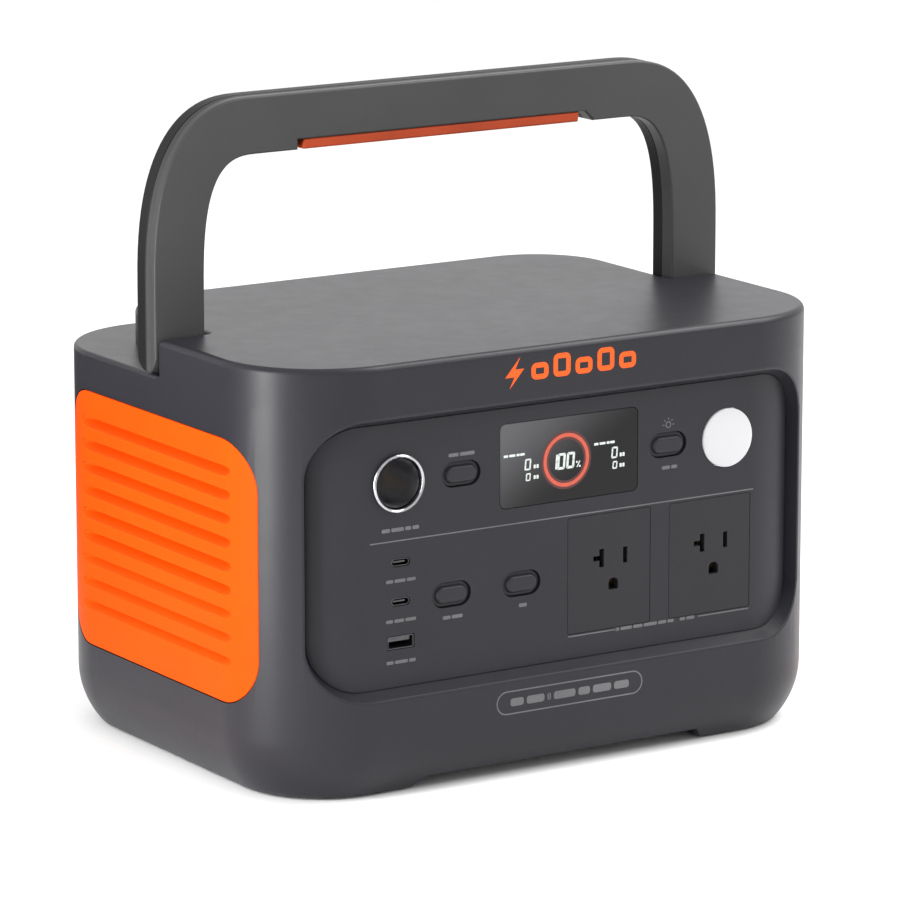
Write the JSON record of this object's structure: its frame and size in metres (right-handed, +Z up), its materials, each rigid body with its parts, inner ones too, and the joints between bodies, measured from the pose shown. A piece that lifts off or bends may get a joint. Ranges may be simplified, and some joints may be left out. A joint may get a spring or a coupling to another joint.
{
  "type": "portable power station",
  "caption": "Portable battery power station with a folding carry handle, recessed front control panel with display, sockets and work light, and louvred side vents.",
  "frame": {"origin": "centre of the footprint, on the surface the unit stands on", "axes": "+Z up, -Y out of the control panel, +X to the right of a person facing the panel"},
  "size_m": [0.302, 0.219, 0.2973],
  "materials": {
    "graphite_plastic": "fine moulded texture, satin",
    "handle_dark_plastic": "fine moulded texture, satin",
    "panel_plastic": "very fine texture, satin",
    "orange_plastic": "satin moulded orange",
    "orange_rubber": "matt soft-touch",
    "black_rubber": "matt",
    "fastener_steel": "zinc plated",
    "bushing_bronze": "sintered bronze",
    "smoked_window": "glossy smoked cover",
    "display_black": "dark display glass",
    "circuit_board": "solder-masked fibreglass",
    "chrome_trim": "polished",
    "port_steel": "bright plated",
    "black_plastic": "moulded",
    "outlet_plastic": "satin moulded",
    "contact_brass": "stamped",
    "light_diffuser": "milky diffuser",
    "cell_can": "sleeved can",
    "nickel_strip": "nickel plated",
    "heat_sink_aluminium": "extruded",
    "winding": "varnished winding on a ferrite core",
    "capacitor_can": "sleeved can",
    "fan_plastic": "moulded",
    "lead_insulation": "insulated wire"
  },
  "bodies": {
    "body": {"main_shell": "graphite_plastic", "base_plate": "graphite_plastic", "rubber_feet": "black_rubber", "base_screws": "fastener_steel", "front_panel": "panel_plastic", "rear_panel": "panel_plastic", "rear_screws": "fastener_steel", "vent_grille_left": "orange_plastic", "vent_grille_right": "orange_plastic", "hinge_pins": "fastener_steel", "hinge_washers": "fastener_steel", "hinge_brackets": "fastener_steel", "hinge_clips": "fastener_steel", "display_window": "smoked_window", "display_module": "display_black", "display_board": "circuit_board", "car_socket_ring": "chrome_trim", "car_socket_barrel": "port_steel", "car_socket_base": "black_plastic", "car_socket_contact": "contact_brass", "button_switches": "black_plastic", "light_lens": "light_diffuser", "light_reflector": "chrome_trim", "light_board": "circuit_board", "usb_c_port_upper": "port_steel", "usb_c_port_lower": "port_steel", "usb_a_port": "port_steel", "usb_board": "circuit_board", "outlet_left": "outlet_plastic", "outlet_right": "outlet_plastic", "outlet_contacts_left": "contact_brass", "outlet_contacts_right": "contact_brass", "ac_inlet": "black_plastic", "ac_inlet_pins": "port_steel", "dc_input_socket": "black_plastic", "battery_cells": "cell_can", "cell_holder_front": "black_plastic", "cell_holder_rear": "black_plastic", "bus_bars": "nickel_strip", "electronics_deck": "black_plastic", "bms_board": "circuit_board", "inverter_board": "circuit_board", "heat_sinks": "heat_sink_aluminium", "transformer": "winding", "capacitors": "capacitor_can", "fan_frame_left": "fan_plastic", "fan_frame_right": "fan_plastic", "power_leads": "lead_insulation"},
    "handle": {"handle_front_shell": "graphite_plastic", "handle_rear_shell": "handle_dark_plastic", "handle_grip": "orange_rubber", "handle_screws": "fastener_steel", "hinge_bushings": "bushing_bronze"},
    "power_button": {"power_button": "panel_plastic"},
    "light_button": {"light_button": "panel_plastic"},
    "dc_usb_button": {"dc_usb_button": "panel_plastic"},
    "ac_button": {"ac_button": "panel_plastic"},
    "fan_rotor_left": {"fan_rotor_left": "fan_plastic"},
    "fan_rotor_right": {"fan_rotor_right": "fan_plastic"}
  },
  "joints": [
    {"name": "handle_fold", "type": "hinge", "parent": "body", "child": "handle", "pos_m": [0, 0.0035, 0.186], "axis": [-1, 0, 0], "range_deg": [0, 90]},
    {"name": "power_press", "type": "slide", "parent": "body", "child": "power_button", "axis": [0, 1, 0], "range_m": [0, 0.0008], "stiffness_N_per_m": 900},
    {"name": "light_press", "type": "slide", "parent": "body", "child": "light_button", "axis": [0, 1, 0], "range_m": [0, 0.0008], "stiffness_N_per_m": 900},
    {"name": "dc_usb_press", "type": "slide", "parent": "body", "child": "dc_usb_button", "axis": [0, 1, 0], "range_m": [0, 0.0008], "stiffness_N_per_m": 900},
    {"name": "ac_press", "type": "slide", "parent": "body", "child": "ac_button", "axis": [0, 1, 0], "range_m": [0, 0.0008], "stiffness_N_per_m": 900},
    {"name": "fan_spin_left", "type": "hinge", "parent": "body", "child": "fan_rotor_left", "pos_m": [-0.132, 0.02, 0.13], "axis": [-1, 0, 0], "continuous": true},
    {"name": "fan_spin_right", "type": "hinge", "parent": "body", "child": "fan_rotor_right", "pos_m": [0.132, 0.02, 0.13], "axis": [1, 0, 0], "continuous": true}
  ]
}
